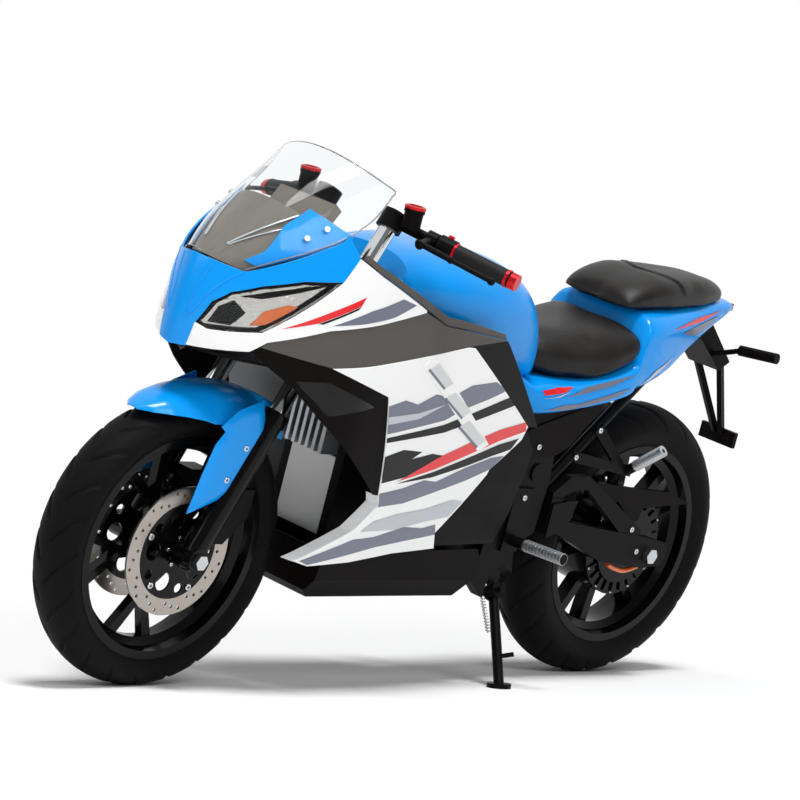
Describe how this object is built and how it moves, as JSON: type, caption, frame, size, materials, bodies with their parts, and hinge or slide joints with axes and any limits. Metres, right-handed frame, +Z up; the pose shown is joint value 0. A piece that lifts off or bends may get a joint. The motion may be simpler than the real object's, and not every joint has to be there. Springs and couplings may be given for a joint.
{
  "type": "electric sport motorcycle",
  "caption": "Fully faired electric sport motorcycle on its side stand, with turning front fork, rolling wheels, hub motor, two-part seat and folding stand.",
  "frame": {"origin": "centre of the parked machine's bounding box, on the floor", "axes": "+X to the front, along the line between the tyres, +Y to the rider's left, +Z up from the floor; the machine leans 13 degrees to the left on its stand"},
  "size_m": [1.9875, 0.767, 1.0915],
  "materials": {
    "black_frame_paint": "satin black powder coat",
    "black_wheel_paint": "gloss black paint",
    "tyre": "matte black tyre rubber",
    "steel": "ground steel",
    "chrome": "hard chrome",
    "alloy": "bare cast alloy",
    "blue_paint": "gloss blue paint on moulded plastic",
    "white_paint": "gloss white paint on moulded plastic",
    "charcoal_plastic": "matte charcoal moulding",
    "black_plastic": "satin black moulding",
    "clear_glass": "clear polycarbonate",
    "seat_leather": "black grained seat vinyl",
    "red_plastic": "red lens",
    "red_metal": "red anodised alloy",
    "grip_rubber": "ribbed black rubber"
  },
  "bodies": {
    "chassis": {"head_tube": "black_frame_paint", "frame_left": "black_frame_paint", "frame_right": "black_frame_paint", "battery_box": "alloy", "heat_sink": "alloy", "belly_pan": "black_plastic", "nose_cowl": "blue_paint", "upper_panels": "white_paint", "wedge_panels": "charcoal_plastic", "side_fairings": "white_paint", "knee_pads": "charcoal_plastic", "side_covers": "black_plastic", "front_signals": "clear_glass", "headlight_lenses": "clear_glass", "headlight_bowls": "black_plastic", "inner_panels": "black_plastic", "under_nose": "black_plastic", "windscreen": "clear_glass", "dash_cowl": "black_plastic", "tank_cover": "blue_paint", "rider_seat": "seat_leather", "pillion_seat": "seat_leather", "tail_cowl": "blue_paint", "tail_light": "red_plastic", "plate_bracket": "black_plastic", "rear_signals": "black_plastic", "subframe": "black_frame_paint", "body_stays": "black_frame_paint", "cradle": "black_frame_paint", "swingarm_pivot": "black_frame_paint", "swingarm_left": "black_frame_paint", "swingarm_right": "black_frame_paint", "hugger": "black_plastic", "rear_shock": "red_metal", "rear_axle_bar": "steel", "rear_caliper": "black_frame_paint", "rider_pegs": "black_frame_paint", "pillion_pegs": "black_frame_paint", "stand_spring": "steel"},
    "steering": {"triple_clamp": "black_frame_paint", "top_clamp": "black_frame_paint", "fork_tubes": "chrome", "fork_sliders": "black_frame_paint", "front_axle_bar": "steel", "handlebars": "black_frame_paint", "grips": "grip_rubber", "bar_ends": "red_metal", "levers": "black_frame_paint", "reservoirs": "black_plastic", "front_fender": "blue_paint", "front_calipers": "black_frame_paint"},
    "front_wheel": {"front_tyre": "tyre", "front_wheel": "black_wheel_paint", "front_rotors": "steel", "front_carriers": "black_frame_paint"},
    "rear_wheel": {"rear_tyre": "tyre", "rear_wheel": "black_wheel_paint", "rear_rotor": "steel"},
    "side_stand": {"side_stand": "black_frame_paint"}
  },
  "joints": [
    {"name": "steering", "type": "hinge", "parent": "chassis", "child": "steering", "pos_m": [0.43715, -0.01433, 0.76966], "axis": [-0.4226, 0.2039, 0.8831], "range_deg": [-28, 28]},
    {"name": "front_wheel_spin", "type": "hinge", "parent": "steering", "child": "front_wheel", "pos_m": [0.701, -0.12565, 0.28749], "axis": [0, 0.9744, -0.225], "continuous": true},
    {"name": "rear_wheel_spin", "type": "hinge", "parent": "chassis", "child": "rear_wheel", "pos_m": [-0.674, -0.12082, 0.30839], "axis": [0, 0.9744, -0.225], "continuous": true},
    {"name": "stand_fold", "type": "hinge", "parent": "chassis", "child": "side_stand", "pos_m": [-0.207, -0.03194, 0.19551], "axis": [0, 0.9389, 0.3442], "range_deg": [0, 95], "deforming": ["stand_spring"]}
  ]
}
